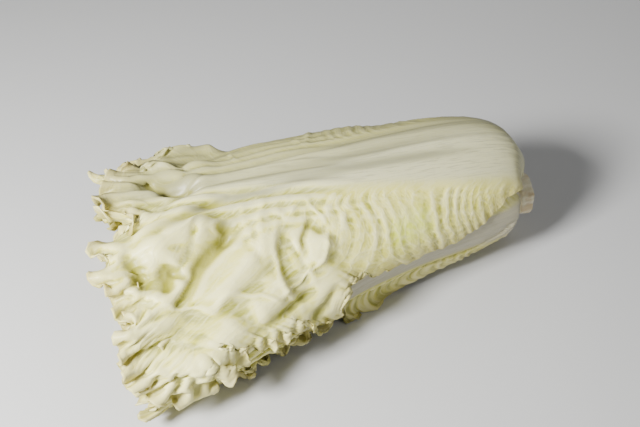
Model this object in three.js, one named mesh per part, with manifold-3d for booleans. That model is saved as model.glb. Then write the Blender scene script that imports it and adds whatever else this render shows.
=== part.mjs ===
// A head of napa cabbage lying on its side, as picked and trimmed at the butt.
// Long leaves with broad white midribs grow from a short stem and wrap round each other.
// The eight outer leaves are separate solids, each laid under the ones outside it.
// The tight inner leaves and the bud that they grow from are one solid, the heart.
// Millimetres. +X points to the cut butt, -X to the leaf tips, -Y to the front, +Z up.
// A place on the head is a station, 0 at the butt and 1 at the tips, and a bearing in
// degrees round it: 0 faces the front, 90 is up, 180 the back and 270 the table.
import * as THREE from "three";
import Module from "manifold-3d";
import { mergeVertices } from "three/addons/utils/BufferGeometryUtils.js";

const wasm = await Module();
wasm.setup();

// Driving dimensions: the outline of the whole head. Its skin is measured out from an axis.
const STATIONS = [0, 0.03, 0.1, 0.22, 0.4, 0.58, 0.76, 0.9, 1];
const OUTLINE = {
  axisX: [124, 122, 117, 102, 58, 0, -62, -116, -152],
  axisY: [-12, -9, -5, -2, 0, 0, 0, 0, 0],
  axisZ: [42, 45, 50, 54, 55, 51, 43, 35, 30],
  skinX: [168, 165, 152, 118, 60, 0, -64, -122, -164],
  front: [19, 33, 44, 55, 66, 78, 96, 112, 120],
  back: [19, 34, 47, 54, 57, 63, 74, 88, 94],
  top: [19, 33, 45, 50, 52, 55, 60, 68, 70],
  bottom: [19, 34, 46, 57, 58, 54, 46, 38, 33],
  squash: [1, 1, 1, 1, 1, 0.9, 0.68, 0.56, 0.5], // below 1 the underside spreads flat
};

// Driving dimensions: leaves and stem.
const BLADE = 1.2; // thickness of the thin green part of a leaf
const LAYER_GAP = 1.2; // air between one leaf and the next
const FACET_GAP = 0.6; // least air where two faceted leaves lie close
const RIB_RELIEF = 2; // how far a midrib stands out of its leaf
const FOLD = { height: 1.6, step: 52 }; // soft folds that run from the midrib to the margin
const TABLE_CLEAR = 14; // below this height ripples fade out
const LEAF_LENGTH = 310;
const MM_PER_DEGREE = 1.15; // width of a leaf for each degree that it wraps
const STEM = {
  y: -15, // where the middle of the cut face lies
  z: 38,
  stub: [[164, 15.5], [168, 16], [173, 17], [175, 15.5], [175, 0]], // [x, radius] outwards
  sunk: 9, // how deep the core stays under the skin of the head
  end: 0.21, // the station where the core ends inside the head
  rows: 7,
  columns: 24,
};

const clamp01 = (x) => Math.min(1, Math.max(0, x));
const ease = (from, to, x) => {
  const t = clamp01((x - from) / (to - from));
  return t * t * (3 - 2 * t);
};

// A smooth curve through [position, value] keys.
function profile(keys) {
  const last = keys.length - 1;
  const rise = (i, j) => (keys[j][1] - keys[i][1]) / (keys[j][0] - keys[i][0]);
  const slopes = keys.map((_, i) => rise(Math.max(i - 1, 0), Math.min(i + 1, last)));
  return (x) => {
    if (x <= keys[0][0]) return keys[0][1];
    if (x >= keys[last][0]) return keys[last][1];
    const i = keys.findIndex((key) => key[0] > x) - 1;
    const span = keys[i + 1][0] - keys[i][0];
    const t = (x - keys[i][0]) / span;
    const bend = t * (1 - t);
    const from = keys[i][1] + slopes[i] * span * t;
    const to = keys[i + 1][1] - slopes[i + 1] * span * (1 - t);
    const mix = t * t * (3 - 2 * t);
    const straight = keys[i][1] * (1 - mix) + keys[i + 1][1] * mix;
    const tangents = (from - keys[i][1]) * (1 - t) * (1 - t) + (to - keys[i + 1][1]) * t * t;
    return bend === 0 ? straight : straight + tangents;
  };
}

const outline = Object.fromEntries(
  Object.entries(OUTLINE).map(([name, values]) => [
    name,
    profile(STATIONS.map((station, i) => [station, values[i]])),
  ]),
);

const axisPoint = (station) =>
  new THREE.Vector3(outline.axisX(station), outline.axisY(station), outline.axisZ(station));

// The point `depth` millimetres inside the skin of the head, towards its axis.
function place(station, bearing, depth) {
  const angle = THREE.MathUtils.degToRad(bearing);
  const across = Math.cos(angle);
  const sine = Math.sin(angle);
  const up = sine > 0 ? sine : -(Math.abs(sine) ** outline.squash(station));
  const y = outline.axisY(station);
  const z = outline.axisZ(station);
  const axis = axisPoint(station);
  const wide = across > 0 ? outline.front(station) : outline.back(station);
  const tall = up > 0 ? outline.top(station) : outline.bottom(station);
  const skin = new THREE.Vector3(outline.skinX(station), y - wide * across, z + tall * up);
  skin.z = Math.max(skin.z, 0);
  const share = depth / skin.distanceTo(axis);
  const point = skin.lerp(axis, share);
  point.z = Math.max(point.z, 0);
  return point;
}

// How deep the head is already filled, on a fine chart of stations and bearings.
const CHART = { stations: 160, bearings: 180 };
const DEGREES = 360 / CHART.bearings;
const REACH = 6; // cells over which a leaf bends as it passes under another's edge
const filled = new Float32Array((CHART.stations + 1) * CHART.bearings);

const wrap = (j) => ((j % CHART.bearings) + CHART.bearings) % CHART.bearings;
const cell = (i, j) => Math.min(Math.max(i, 0), CHART.stations) * CHART.bearings + wrap(j);

function sample(chart, station, bearing) {
  const x = clamp01(station) * CHART.stations;
  const y = bearing / DEGREES;
  const i = Math.floor(x);
  const j = Math.floor(y);
  const low = chart[cell(i, j)] * (1 - y + j) + chart[cell(i, j + 1)] * (y - j);
  const high = chart[cell(i + 1, j)] * (1 - y + j) + chart[cell(i + 1, j + 1)] * (y - j);
  return low * (1 - x + i) + high * (x - i);
}

// One pass over a chart along one direction, taking the highest value or the mean.
function sweep(chart, alongStations, highest, reach) {
  const result = new Float32Array(chart.length);
  for (let i = 0; i <= CHART.stations; i += 1) {
    for (let j = 0; j < CHART.bearings; j += 1) {
      let most = 0;
      let sum = 0;
      for (let k = -reach; k <= reach; k += 1) {
        const value = alongStations ? chart[cell(i + k, j)] : chart[cell(i, j + k)];
        most = Math.max(most, value);
        sum += value;
      }
      result[cell(i, j)] = highest ? most : sum / (2 * reach + 1);
    }
  }
  return result;
}

// The filled depth with its steps eased, nowhere less than it was.
function easedDepth() {
  const highest = sweep(sweep(filled, true, true, REACH), false, true, REACH);
  return sweep(sweep(highest, true, false, REACH), false, false, REACH);
}

// The line of sight into the head at every cell of the chart.
const sights = Array.from(filled, (_, index) => {
  const station = Math.floor(index / CHART.bearings) / CHART.stations;
  const bearing = (index % CHART.bearings) * DEGREES;
  const skin = place(station, bearing, 0);
  return { skin, inward: place(station, bearing, 10).sub(skin).divideScalar(10) };
});

// Calls visit(cell index, least depth, most depth) for each chart cell in a triangle.
function overTriangle(corners, visit) {
  const points = corners.map((c) => place(c.station, c.bearing, c.depth));
  const plane = new THREE.Plane().setFromCoplanarPoints(...points);
  const xs = corners.map((c) => c.station * CHART.stations);
  const ys = corners.map((c) => c.bearing / DEGREES);
  const area = (xs[1] - xs[0]) * (ys[2] - ys[0]) - (xs[2] - xs[0]) * (ys[1] - ys[0]);
  if (Math.abs(area) < 1e-9) return;
  for (let i = Math.ceil(Math.min(...xs)); i <= Math.max(...xs); i += 1) {
    for (let j = Math.ceil(Math.min(...ys)); j <= Math.max(...ys); j += 1) {
      const b = ((i - xs[0]) * (ys[2] - ys[0]) - (xs[2] - xs[0]) * (j - ys[0])) / area;
      const c = ((xs[1] - xs[0]) * (j - ys[0]) - (i - xs[0]) * (ys[1] - ys[0])) / area;
      const a = 1 - b - c;
      if (Math.min(a, b, c) < -0.02 || i < 0 || i > CHART.stations) continue;
      const { skin, inward } = sights[cell(i, j)];
      const blended = a * corners[0].depth + b * corners[1].depth + c * corners[2].depth;
      const slant = plane.normal.dot(inward);
      const exact = -plane.distanceToPoint(skin) / slant;
      const flat = Math.abs(slant) > 0.15 && Math.abs(exact - blended) < 6 ? exact : blended;
      visit(cell(i, j), Math.min(flat, blended), Math.max(flat, blended));
    }
  }
}

// The two triangles of each cell of a grid, alike on both faces of a blade.
function gridTriangles(rows, columns) {
  const found = [];
  const at = (i, j) => i * (columns + 1) + j;
  for (let i = 0; i < rows; i += 1) {
    for (let j = 0; j < columns; j += 1) {
      found.push([at(i, j), at(i + 1, j), at(i + 1, j + 1)]);
      found.push([at(i, j), at(i + 1, j + 1), at(i, j + 1)]);
    }
  }
  return found;
}

// Ripples that grow towards the margins of a leaf. along and across are millimetres on it.
const RIPPLES = [
  { long: 58, wide: 140, share: 0.55, turn: 0.4 },
  { long: 170, wide: 47, share: 0.65, turn: 2.1 },
  { long: 41, wide: -66, share: 0.4, turn: 4.0 },
];
function ripple(along, across, phase) {
  return RIPPLES.reduce((sum, wave, i) => {
    const angle = 2 * Math.PI * (along / wave.long + across / wave.wide) + wave.turn;
    return sum + wave.share * Math.sin(angle + phase * (i + 1));
  }, 0);
}

// One point of a leaf. s runs from its base to its tip, and w from its lower margin to its
// upper one, 0 at the midrib. `eased` is the chart of what already lies over it.
function leafPoint(leaf, s, w, eased) {
  const side = w < 0 ? leaf.lower(s) : leaf.upper(s);
  const station = leaf.start + (leaf.tip + leaf.tipLine(w) - leaf.start) * s;
  const bearing = leaf.midrib(s) + side * w;
  const along = LEAF_LENGTH * s;
  const across = MM_PER_DEGREE * side * w;

  const skin = place(station, bearing, 0);
  const outwards = skin.clone().sub(axisPoint(station));
  const radius = outwards.length();
  const room = outwards.z < 0 ? (skin.z * radius) / -outwards.z : Infinity;

  const rib = clamp01(1 - ((side * w) / leaf.ribHalf(s)) ** 2) ** 2;
  const edge = Math.max(ease(0.5, 0.95, Math.abs(w)) * ease(0.1, 0.5, s), ease(0.7, 0.97, s));
  const wave = edge * leaf.waviness * ripple(along, across, leaf.phase);
  const turn = (2 * Math.PI * (along - 0.8 * Math.abs(across))) / FOLD.step;
  const fold = -FOLD.height * Math.sin(turn) * (1 - rib) * (1 - edge) * ease(0.15, 0.45, s);
  const relief = RIB_RELIEF * Math.sqrt(rib) * (1 - s);
  const flare = leaf.flare(s) * ease(0.6, 1, -w);
  const clear = ease(0, TABLE_CLEAR, skin.z);
  const raised = flare + clear * (Math.max(wave, 0) + fold + relief);
  const hollow = -Math.min(wave, 0) * Math.max(clear, ease(0.75, 0.95, s));
  const lowered = leaf.tuck * ease(0.4, 1, s) * radius + hollow;

  const free = lowered - Math.min(raised, room);
  const under = sample(eased, station, bearing);
  const depth = under > 0.01 ? Math.max(free, under + LAYER_GAP + leaf.sunk) : free;
  const thickness = BLADE + (leaf.ribThick(s) - BLADE) * rib;
  return { station, bearing, depth, thickness };
}

// Lays one leaf on the chart, under everything laid before it, and returns its grid.
function layLeaf(leaf) {
  const { rows, columns } = leaf;
  const eased = easedDepth();
  const points = [];
  for (let i = 0; i <= rows; i += 1) {
    const s = i / rows - 0.07 * Math.sin((2 * Math.PI * i) / rows);
    for (let j = 0; j <= columns; j += 1) {
      points.push(leafPoint(leaf, s, (2 * j) / columns - 1, eased));
    }
  }
  const triangles = gridTriangles(rows, columns);
  const near = sweep(sweep(filled, true, true, 1), false, true, 1);
  for (let pass = 0; pass < 8; pass += 1) {
    for (const triangle of triangles) {
      const corners = triangle.map((k) => points[k]);
      let lack = 0;
      overTriangle(corners, (index, least) => {
        if (near[index] > 0) lack = Math.max(lack, near[index] + FACET_GAP - least);
      });
      for (const corner of corners) corner.depth += lack;
    }
  }
  for (const triangle of triangles) {
    const corners = triangle.map((k) => {
      const { station, bearing, depth, thickness } = points[k];
      return { station, bearing, depth: depth + thickness };
    });
    overTriangle(corners, (index, _, most) => {
      filled[index] = Math.max(filled[index], most);
    });
  }
  return { rows, columns, points, triangles };
}

// A closed thin solid from a leaf's grid: outer face, inner face and the rim between them.
function leafGeometry({ rows, columns, points, triangles }) {
  const outer = points.map((p) => place(p.station, p.bearing, p.depth));
  const inner = points.map((p) => place(p.station, p.bearing, p.depth + p.thickness));
  const count = points.length;
  const index = [];
  for (const [a, b, c] of triangles) {
    index.push(a, c, b);
    index.push(count + a, count + b, count + c);
  }
  const rim = [];
  for (let j = 0; j < columns; j += 1) rim.push(j);
  for (let i = 0; i < rows; i += 1) rim.push(i * (columns + 1) + columns);
  for (let j = columns; j > 0; j -= 1) rim.push(rows * (columns + 1) + j);
  for (let i = rows; i > 0; i -= 1) rim.push(i * (columns + 1));
  rim.forEach((from, k) => {
    const to = rim[(k + 1) % rim.length];
    index.push(from, count + to, to);
    index.push(from, count + from, count + to);
  });
  const positions = [...outer, ...inner].flatMap((p) => [p.x, p.y, p.z]);
  const geometry = new THREE.BufferGeometry();
  geometry.setAttribute("position", new THREE.Float32BufferAttribute(positions, 3));
  geometry.setIndex(index);
  geometry.computeVertexNormals();
  return geometry;
}

// What a plain wrapping leaf has; each leaf below says where it differs.
const PLAIN_LEAF = {
  rows: 13,
  columns: 20,
  tip: 0.97,
  tipLine: profile([
    [-1, -0.1], [-0.8, -0.02], [-0.55, -0.045], [-0.3, 0], [-0.05, -0.02],
    [0.2, 0.01], [0.45, -0.035], [0.7, -0.01], [1, -0.1],
  ]),
  waviness: 8,
  lower: profile([[0, 40], [0.12, 55], [0.35, 74], [0.65, 92], [0.88, 96], [1, 88]]),
  upper: profile([[0, 40], [0.12, 55], [0.35, 74], [0.65, 92], [0.88, 96], [1, 88]]),
  ribHalf: profile([[0, 38], [0.15, 34], [0.4, 24], [0.7, 13], [1, 7]]),
  ribThick: profile([[0, 5], [0.08, 7.5], [0.3, 7], [0.6, 4.5], [1, 1.6]]),
  tuck: 0, // how far the tip leans in, as a share of the way to the axis
  sunk: 0, // extra depth under the leaves outside it
  flare: () => 0,
};

// The eight outer leaves, outermost first. Each grows a little higher up the stem.
const OUTER_LEAVES = [
  {
    name: "leaf_1_top",
    start: 0,
    tip: 1,
    tipLine: profile([
      [-1, -0.03], [-0.8, 0], [-0.5, 0], [-0.3, -0.012], [-0.22, 0], [-0.12, -0.042],
      [0.05, 0], [0.2, -0.03], [0.5, -0.07], [0.75, -0.06], [1, -0.12],
    ]),
    phase: 0.7,
    flare: profile([[0, 0], [0.6, 0], [0.66, 6], [0.8, 9], [1, 4]]),
    midrib: profile([[0, 80], [0.3, 80], [0.5, 84], [0.72, 93], [1, 98]]),
    lower: profile([
      [0, 46], [0.1, 52], [0.16, 58], [0.23, 73], [0.31, 86], [0.42, 89], [0.52, 90],
      [0.59, 84], [0.64, 118], [0.72, 138], [0.88, 146], [1, 140],
    ]),
    upper: profile([[0, 46], [0.12, 62], [0.35, 84], [0.65, 98], [0.88, 100], [1, 86]]),
    ribHalf: profile([[0, 44], [0.15, 46], [0.33, 34], [0.5, 24], [0.72, 14], [1, 8]]),
    columns: 26,
    rows: 19,
  },
  {
    name: "leaf_2_front",
    start: 0.015,
    tip: 0.985,
    phase: 1.9,
    flare: profile([[0, 0], [0.2, 4], [0.35, 11], [0.5, 21], [0.62, 25], [0.78, 14], [1, 8]]),
    midrib: profile([[0, -6], [0.4, -9], [1, -14]]),
    lower: profile([[0, 36], [0.12, 36], [0.35, 34], [0.5, 40], [0.64, 62], [0.85, 78], [1, 76]]),
    ribHalf: profile([[0, 30], [0.15, 24], [0.4, 21], [0.7, 13], [1, 7]]),
    columns: 22,
  },
  { name: "leaf_3_back", start: 0.03, phase: 3.1, midrib: () => 214, tip: 0.985 },
  { name: "leaf_4_top", start: 0.05, phase: 4.4, midrib: () => 77, tip: 0.965, tuck: 0.08 },
  { name: "leaf_5_under", start: 0.07, phase: 0.9, midrib: () => -60, tip: 0.975, tuck: 0.1 },
  { name: "leaf_6_back", start: 0.09, phase: 2.6, midrib: () => 162, tip: 0.955, tuck: 0.16 },
  { name: "leaf_7_front", start: 0.11, phase: 5.2, midrib: () => 24, tip: 0.945, tuck: 0.22 },
  { name: "leaf_8_under", start: 0.13, phase: 3.8, midrib: () => 247, tip: 0.94, tuck: 0.26 },
].map((leaf) => ({ ...PLAIN_LEAF, ...leaf }));

// The leaves of the heart show only their tips; lower down they are packed into its bud.
const HEART = {
  leaves: 7,
  firstBearing: 110,
  turn: 137.5,
  start: 0.5,
  tip: 0.935,
  step: 0.008,
  tuck: 0.36,
  tuckStep: 0.07,
};
const HEART_LEAF = {
  ...PLAIN_LEAF,
  rows: 7,
  columns: 10,
  waviness: 5,
  sunk: 2,
  lower: profile([[0, 60], [1, 74]]),
  upper: profile([[0, 60], [1, 74]]),
  ribHalf: profile([[0, 16], [1, 7]]),
  ribThick: profile([[0, 4], [1, 1.6]]),
};
const BUD = { from: 0.24, to: 0.82, rows: 14, columns: 24 };

function solidOf(geometry) {
  const bare = new THREE.BufferGeometry();
  bare.setAttribute("position", geometry.getAttribute("position"));
  bare.setIndex(geometry.index);
  const merged = mergeVertices(bare, 1e-4);
  return new wasm.Manifold(
    new wasm.Mesh({
      numProp: 3,
      vertProperties: new Float32Array(merged.attributes.position.array),
      triVerts: new Uint32Array(merged.index.array),
    }),
  );
}

function geometryOf(solid) {
  const mesh = solid.getMesh();
  const geometry = new THREE.BufferGeometry();
  geometry.setAttribute("position", new THREE.Float32BufferAttribute(mesh.vertProperties, 3));
  geometry.setIndex([...mesh.triVerts]);
  geometry.computeVertexNormals();
  return geometry;
}

// A closed solid through rings of points, the first and last of them shrunk to a point.
function ringGeometry(rings) {
  const columns = rings[0].length;
  const index = [];
  for (let i = 0; i < rings.length - 1; i += 1) {
    for (let j = 0; j < columns; j += 1) {
      const next = (j + 1) % columns;
      const [a, b] = [i * columns + j, i * columns + next];
      const [c, d] = [a + columns, b + columns];
      if (i < rings.length - 2) index.push(a, c, d);
      if (i > 0) index.push(a, d, b);
    }
  }
  const geometry = new THREE.BufferGeometry();
  const positions = rings.flat().flatMap((p) => [p.x, p.y, p.z]);
  geometry.setAttribute("position", new THREE.Float32BufferAttribute(positions, 3));
  geometry.setIndex(index);
  geometry.computeVertexNormals();
  return geometry;
}

// The bud fills what the outer leaves leave free and closes on the axis at both ends.
function budGeometry() {
  const eased = easedDepth();
  const rings = [];
  for (let i = 0; i <= BUD.rows; i += 1) {
    const t = i / BUD.rows;
    const station = BUD.from + (BUD.to - BUD.from) * t;
    const fullness = Math.sqrt(clamp01(1 - (2 * t - 1) ** 4)) * (i % BUD.rows ? 1 : 0);
    const ring = [];
    for (let j = 0; j < BUD.columns; j += 1) {
      const bearing = (360 * j) / BUD.columns;
      const skin = place(station, bearing, sample(eased, station, bearing) + LAYER_GAP);
      ring.push(axisPoint(station).lerp(skin, fullness));
    }
    rings.push(ring);
  }
  return ringGeometry(rings.reverse());
}

// The cut stem: a stub at the butt and, hidden under the leaf bases, the core they grow from.
function stemGeometry(eased) {
  const { rows, columns, end, sunk } = STEM;
  const rings = [];
  for (let i = rows; i > 0; i -= 1) {
    const station = (end * i) / rows;
    const ring = [];
    for (let j = 0; j < columns; j += 1) {
      const bearing = (360 * j) / columns;
      const depth = Math.max(sample(eased, station, bearing) + LAYER_GAP, sunk);
      const axis = axisPoint(station);
      ring.push(axis.lerp(place(station, bearing, depth), Math.sqrt(1 - (i / rows) ** 3)));
    }
    rings.push(ring);
  }
  for (const [x, radius] of STEM.stub) {
    const ring = [];
    for (let j = 0; j < columns; j += 1) {
      const angle = (2 * Math.PI * j) / columns;
      const y = STEM.y - radius * Math.cos(angle);
      ring.push(new THREE.Vector3(x, y, STEM.z + radius * Math.sin(angle)));
    }
    rings.push(ring);
  }
  return ringGeometry(rings);
}

const leafFinish = new THREE.MeshStandardMaterial({ color: 0xe3e0bd, roughness: 0.5, metalness: 0 });
const ribFinish = new THREE.MeshStandardMaterial({ color: 0xdcd9c6, roughness: 0.45, metalness: 0 });
const heartFinish = new THREE.MeshStandardMaterial({ color: 0xe8e4ae, roughness: 0.5, metalness: 0 });
const stemFinish = new THREE.MeshStandardMaterial({ color: 0xdccfae, roughness: 0.7, metalness: 0 });

const cabbage = new THREE.Group();
function add(name, geometry, material) {
  const mesh = new THREE.Mesh(geometry, material);
  mesh.name = name;
  cabbage.add(mesh);
}

for (const leaf of OUTER_LEAVES) {
  const finish = leaf.name === "leaf_2_front" ? ribFinish : leafFinish;
  add(leaf.name, leafGeometry(layLeaf(leaf)), finish);
}

add("stem", stemGeometry(easedDepth()), stemFinish);

let heart = solidOf(budGeometry());
for (let k = 0; k < HEART.leaves; k += 1) {
  const bearing = HEART.firstBearing - HEART.turn * k;
  const leaf = {
    ...HEART_LEAF,
    start: HEART.start,
    tip: HEART.tip - HEART.step * k,
    tuck: HEART.tuck + HEART.tuckStep * k,
    phase: 1.3 * k,
    midrib: () => bearing,
  };
  heart = heart.add(solidOf(leafGeometry(layLeaf(leaf))));
}
add("heart", geometryOf(heart), heartFinish);

// The origin is under the middle of the head, on the table.
const box = new THREE.Box3().setFromObject(cabbage, true);
const middle = box.getCenter(new THREE.Vector3());
cabbage.position.set(-middle.x, -middle.y, 0);

export default cabbage;
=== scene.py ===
"""The looks of a head of napa cabbage lying on its side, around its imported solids.
Sizes are in millimetres until a mesh is made. A place on the head is a station, 0 at the butt
and 1 at the tips, and a bearing in degrees: 0 faces the front, 90 is up, 180 is the back."""
import math

import bpy
import numpy as np
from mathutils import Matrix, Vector


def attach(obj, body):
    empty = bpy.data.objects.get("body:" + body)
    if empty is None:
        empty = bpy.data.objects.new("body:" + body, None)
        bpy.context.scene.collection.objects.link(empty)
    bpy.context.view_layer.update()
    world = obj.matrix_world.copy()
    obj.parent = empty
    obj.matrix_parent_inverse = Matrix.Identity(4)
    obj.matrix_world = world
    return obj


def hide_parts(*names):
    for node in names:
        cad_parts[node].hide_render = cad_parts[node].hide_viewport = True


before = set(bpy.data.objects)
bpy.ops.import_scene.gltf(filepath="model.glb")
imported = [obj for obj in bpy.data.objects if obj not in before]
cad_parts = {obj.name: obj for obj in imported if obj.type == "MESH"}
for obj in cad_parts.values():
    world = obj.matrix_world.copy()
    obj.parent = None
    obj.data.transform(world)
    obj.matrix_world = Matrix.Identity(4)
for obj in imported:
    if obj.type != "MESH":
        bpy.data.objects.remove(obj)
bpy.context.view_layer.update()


# The camera, where the photograph was taken from: above the leaf end's left, looking down at
# the head. The head's own plan has its zero where the CAD's stem says, and the camera with it.
STUB_END_X = 175
STUB_MIDDLE_Y = -15
stub_face = [v.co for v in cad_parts["stem"].data.vertices]
stub_reach = max(co.x for co in stub_face)
stub_face = [co.y for co in stub_face if co.x > stub_reach - 1e-4]
SHIFT = np.array([stub_reach * 1000 - STUB_END_X,
                  1000 * (max(stub_face) + min(stub_face)) / 2 - STUB_MIDDLE_Y, 0])

AZIMUTH, ELEVATION, CAMERA_DISTANCE = math.radians(-19), math.radians(43), 0.76
looked_at = Vector((SHIFT + [22, 52, 0]) / 1000)
backwards = Vector((math.sin(AZIMUTH) * math.cos(ELEVATION),
                    -math.cos(AZIMUTH) * math.cos(ELEVATION), math.sin(ELEVATION)))
bpy.ops.object.select_all(action="DESELECT")
bpy.ops.object.camera_add(location=looked_at + backwards * CAMERA_DISTANCE)
camera = bpy.context.object
camera.rotation_euler = backwards.to_track_quat("Z", "Y").to_euler()
camera.data.lens, camera.data.sensor_width = 50, 36
camera.data.clip_start, camera.data.clip_end = 0.01, 50
bpy.context.scene.camera = camera


# The outermost leaf. Its thick white midrib runs along the top, and its thin crinkled blade
# covers the front and drapes to the table. It grew from the stem and wraps all the others.
def curve(keys):
    """A smooth curve through (position, value) keys."""
    x, y = np.array(keys, float).T
    last = len(x) - 1
    before, after = np.maximum(np.arange(last + 1) - 1, 0), np.minimum(np.arange(last + 1) + 1, last)
    slope = (y[after] - y[before]) / (x[after] - x[before])

    def at(where):
        where = np.clip(where, x[0], x[-1])
        i = np.clip(np.searchsorted(x, where, side="right") - 1, 0, last - 1)
        span = x[i + 1] - x[i]
        t = (where - x[i]) / span
        values = y[i] * (1 + 2 * t) * (1 - t) ** 2 + y[i + 1] * t * t * (3 - 2 * t)
        return values + span * t * (1 - t) * (slope[i] * (1 - t) - slope[i + 1] * t)
    return at


def ease(start, end, x):
    t = np.clip((x - start) / (end - start), 0, 1)
    return t * t * (3 - 2 * t)


# The head's own shape: a line of centres, and how far its skin lies from it on each side.
HEAD_LENGTH = 330
STATIONS = [0, 0.03, 0.1, 0.22, 0.4, 0.58, 0.76, 0.9, 1, 1.04]
HEAD = {
    "axis_x": [124, 122, 117, 102, 58, 0, -62, -116, -152, -162],
    "axis_y": [-12, -9, -5, -2, 0, 0, 0, 0, 0, 0],
    "axis_z": [42, 45, 50, 54, 55, 51, 43, 35, 30, 29],
    "skin_x": [168, 165, 152, 118, 60, 0, -64, -122, -163, -173],
    "front": [19, 33, 44, 55, 66, 78, 96, 112, 120, 121],
    "back": [19, 34, 47, 54, 57, 63, 74, 88, 94, 95],
    "top": [19, 33, 45, 50, 52, 55, 60, 68, 70, 70],
    "bottom": [19, 34, 46, 57, 58, 54, 46, 38, 33, 32],
    "squash": [1, 1, 1, 1, 1, 0.9, 0.68, 0.56, 0.5, 0.5],
}
HEAD = {name: curve(list(zip(STATIONS, values))) for name, values in HEAD.items()}


def axis_point(station):
    return np.stack([HEAD[name](station) for name in ("axis_x", "axis_y", "axis_z")], -1)


def place(station, bearing, depth):
    """The point that many millimetres inside the head's skin, towards its axis."""
    angle = np.radians(bearing)
    across, sine = np.cos(angle), np.sin(angle)
    up = np.where(sine > 0, sine, -np.abs(sine) ** HEAD["squash"](station))
    wide = np.where(across > 0, HEAD["front"](station), HEAD["back"](station))
    tall = np.where(up > 0, HEAD["top"](station), HEAD["bottom"](station))
    axis = axis_point(station)
    skin = np.stack([HEAD["skin_x"](station) + 0 * across, axis[..., 1] - wide * across,
                     np.maximum(axis[..., 2] + tall * up, 0)], -1)
    reach = skin - axis
    share = depth / np.sqrt((reach ** 2).sum(-1))
    point = skin - reach * share[..., None]
    point[..., 2] = np.maximum(point[..., 2], 0)
    return point


def swell(x, y, seed):
    """Smooth random hills about one unit across, from -1 to 1."""
    hills = np.random.default_rng(seed).uniform(-1, 1, (64, 64))
    i, j = np.floor(x).astype(int), np.floor(y).astype(int)
    tx, ty = x - i, y - j
    tx, ty = tx * tx * (3 - 2 * tx), ty * ty * (3 - 2 * ty)
    row = [hills[(i + a) % 64, j % 64] * (1 - ty) + hills[(i + a) % 64, (j + 1) % 64] * ty
           for a in (0, 1)]
    return row[0] * (1 - tx) + row[1] * tx


def girth_at(station):
    """The millimetres of skin round the head for each degree of bearing."""
    return 0.0175 * (HEAD["front"](station) + HEAD["top"](station)) / 2


def stroke(station, bearing, path, width):
    """How close each place is to a path of (station, bearing): 1 on it, fading over a width and
    towards the path's ends. Also how far it is to the path's left, in widths."""
    scale = girth_at(station)
    x, y = HEAD_LENGTH * station, bearing * scale
    nearest, left, way = (np.full(station.shape, value) for value in (1e9, 0.0, 0.0))
    ends = np.array(path, float)
    for k, ((u0, b0), (u1, b1)) in enumerate(zip(ends[:-1], ends[1:])):
        ax, ay, dx, dy = HEAD_LENGTH * u0, b0 * scale, HEAD_LENGTH * (u1 - u0), (b1 - b0) * scale
        t = np.clip(((x - ax) * dx + (y - ay) * dy) / (dx * dx + dy * dy), 0, 1)
        gap = (x - ax - t * dx) ** 2 + (y - ay - t * dy) ** 2
        side = (dx * (y - ay) - dy * (x - ax)) / np.sqrt(dx * dx + dy * dy)
        left = np.where(gap < nearest, side, left)
        way = np.where(gap < nearest, (k + t) / (len(ends) - 1), way)
        nearest = np.minimum(nearest, gap)
    return np.exp(-nearest / width ** 2) * ease(0, 0.3, way) * ease(0, 0.3, 1 - way), left / width


# How deep under the skin the leaves laid so far reach, in cells of station and bearing.
CHART = (200, 240)
filled = np.zeros(CHART)


def spread(chart, cells, how):
    """The highest value or the mean over the cells around each one; bearings wrap round."""
    for axis in (0, 1):
        shifted = []
        for k in range(-cells, cells + 1):
            moved = np.roll(chart, k, axis)
            if axis == 0 and k > 0:
                moved[:k] = chart[0]
            if axis == 0 and k < 0:
                moved[k:] = chart[-1]
            shifted.append(moved)
        chart = how(shifted, axis=0)
    return chart


def eased_chart():
    """The filled chart, with each cell's depth carried smoothly to the cells near it."""
    return spread(spread(filled, 7, np.max), 7, np.mean)


def chart_value(chart, station, bearing):
    """The chart read between its cells."""
    x = np.clip(station, 0, 1) * (CHART[0] - 1)
    y = (bearing % 360) / 360 * CHART[1]
    i, j = np.minimum(x.astype(int), CHART[0] - 2), y.astype(int)
    tx, ty = x - i, y - j
    j, after = j % CHART[1], (j + 1) % CHART[1]
    low = chart[i, j] * (1 - ty) + chart[i, after] * ty
    high = chart[i + 1, j] * (1 - ty) + chart[i + 1, after] * ty
    return low * (1 - tx) + high * tx


def fill(station, bearing, depth):
    """Enters a leaf's inner face in the chart."""
    i = np.clip(np.rint(station * (CHART[0] - 1)), 0, CHART[0] - 1).astype(int)
    j = np.rint((bearing % 360) / 360 * CHART[1]).astype(int) % CHART[1]
    laid = np.zeros(CHART)
    np.maximum.at(laid, (i, j), depth)
    gaps = laid == 0
    laid[gaps] = spread(laid, 1, np.max)[gaps]
    np.maximum(filled, laid, out=filled)


def lengths(a, b):
    """How far apart the points of two grids are."""
    return np.sqrt(((a - b) ** 2).sum(-1))


def outward(points):
    """The outward normal at each point of a leaf's grid."""
    along = np.gradient(points, axis=0)
    around = np.gradient(points, axis=1)
    normal = np.cross(around, along)
    return normal / np.maximum(np.sqrt((normal ** 2).sum(-1)), 1e-9)[..., None]


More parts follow.
